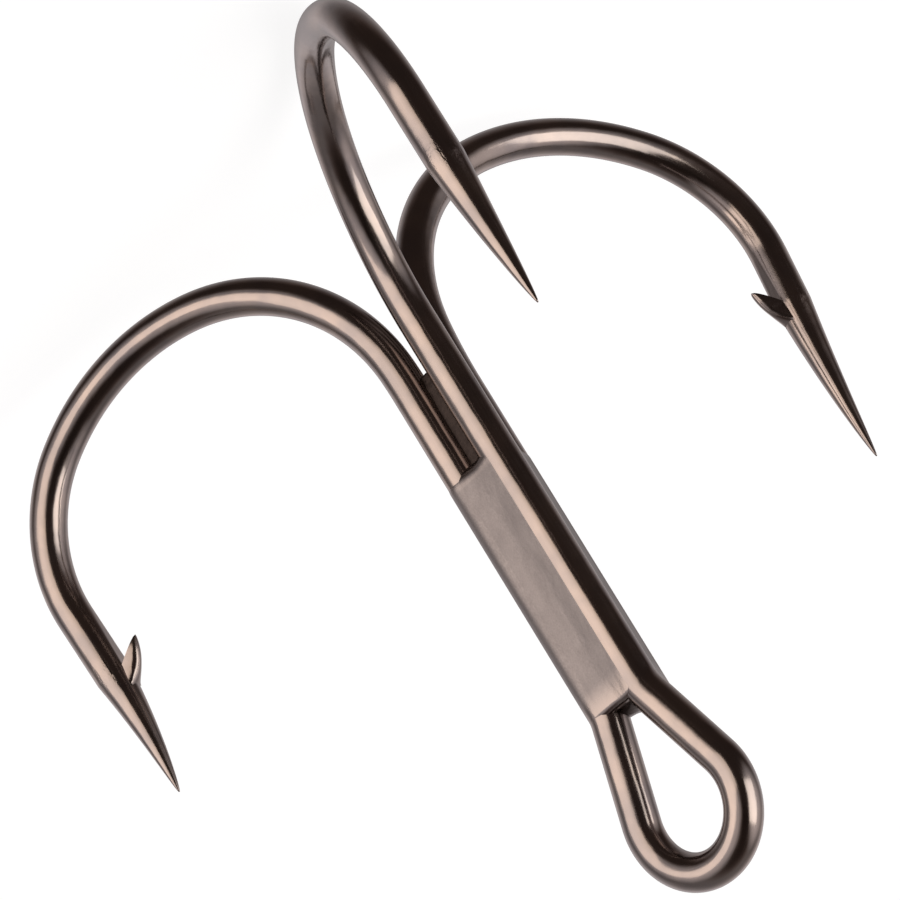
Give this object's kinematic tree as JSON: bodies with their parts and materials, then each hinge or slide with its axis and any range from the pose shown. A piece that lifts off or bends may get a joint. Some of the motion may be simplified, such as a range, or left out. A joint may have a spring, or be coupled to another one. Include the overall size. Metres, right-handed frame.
{
  "type": "treble fishing hook",
  "caption": "Barbed treble fishing hook with a teardrop line eye, bent from plated steel wire and brazed along the shank.",
  "frame": {"origin": "centre of the round end of the line eye, where a split ring or line pulls", "axes": "+Z along the shank from the bends towards the eye, Y through the hole of the eye, +Y on the side of the two front hooks, X across the eye"},
  "size_m": [0.0352, 0.0336, 0.0372],
  "materials": {
    "plated_wire": "polished black nickel plating over carbon steel wire",
    "plated_braze": "satin black nickel plating over brazing metal"
  },
  "bodies": {
    "root": {"double_hook_wire": "plated_wire", "single_hook_wire": "plated_wire", "braze_fill": "plated_braze"}
  },
  "joints": []
}
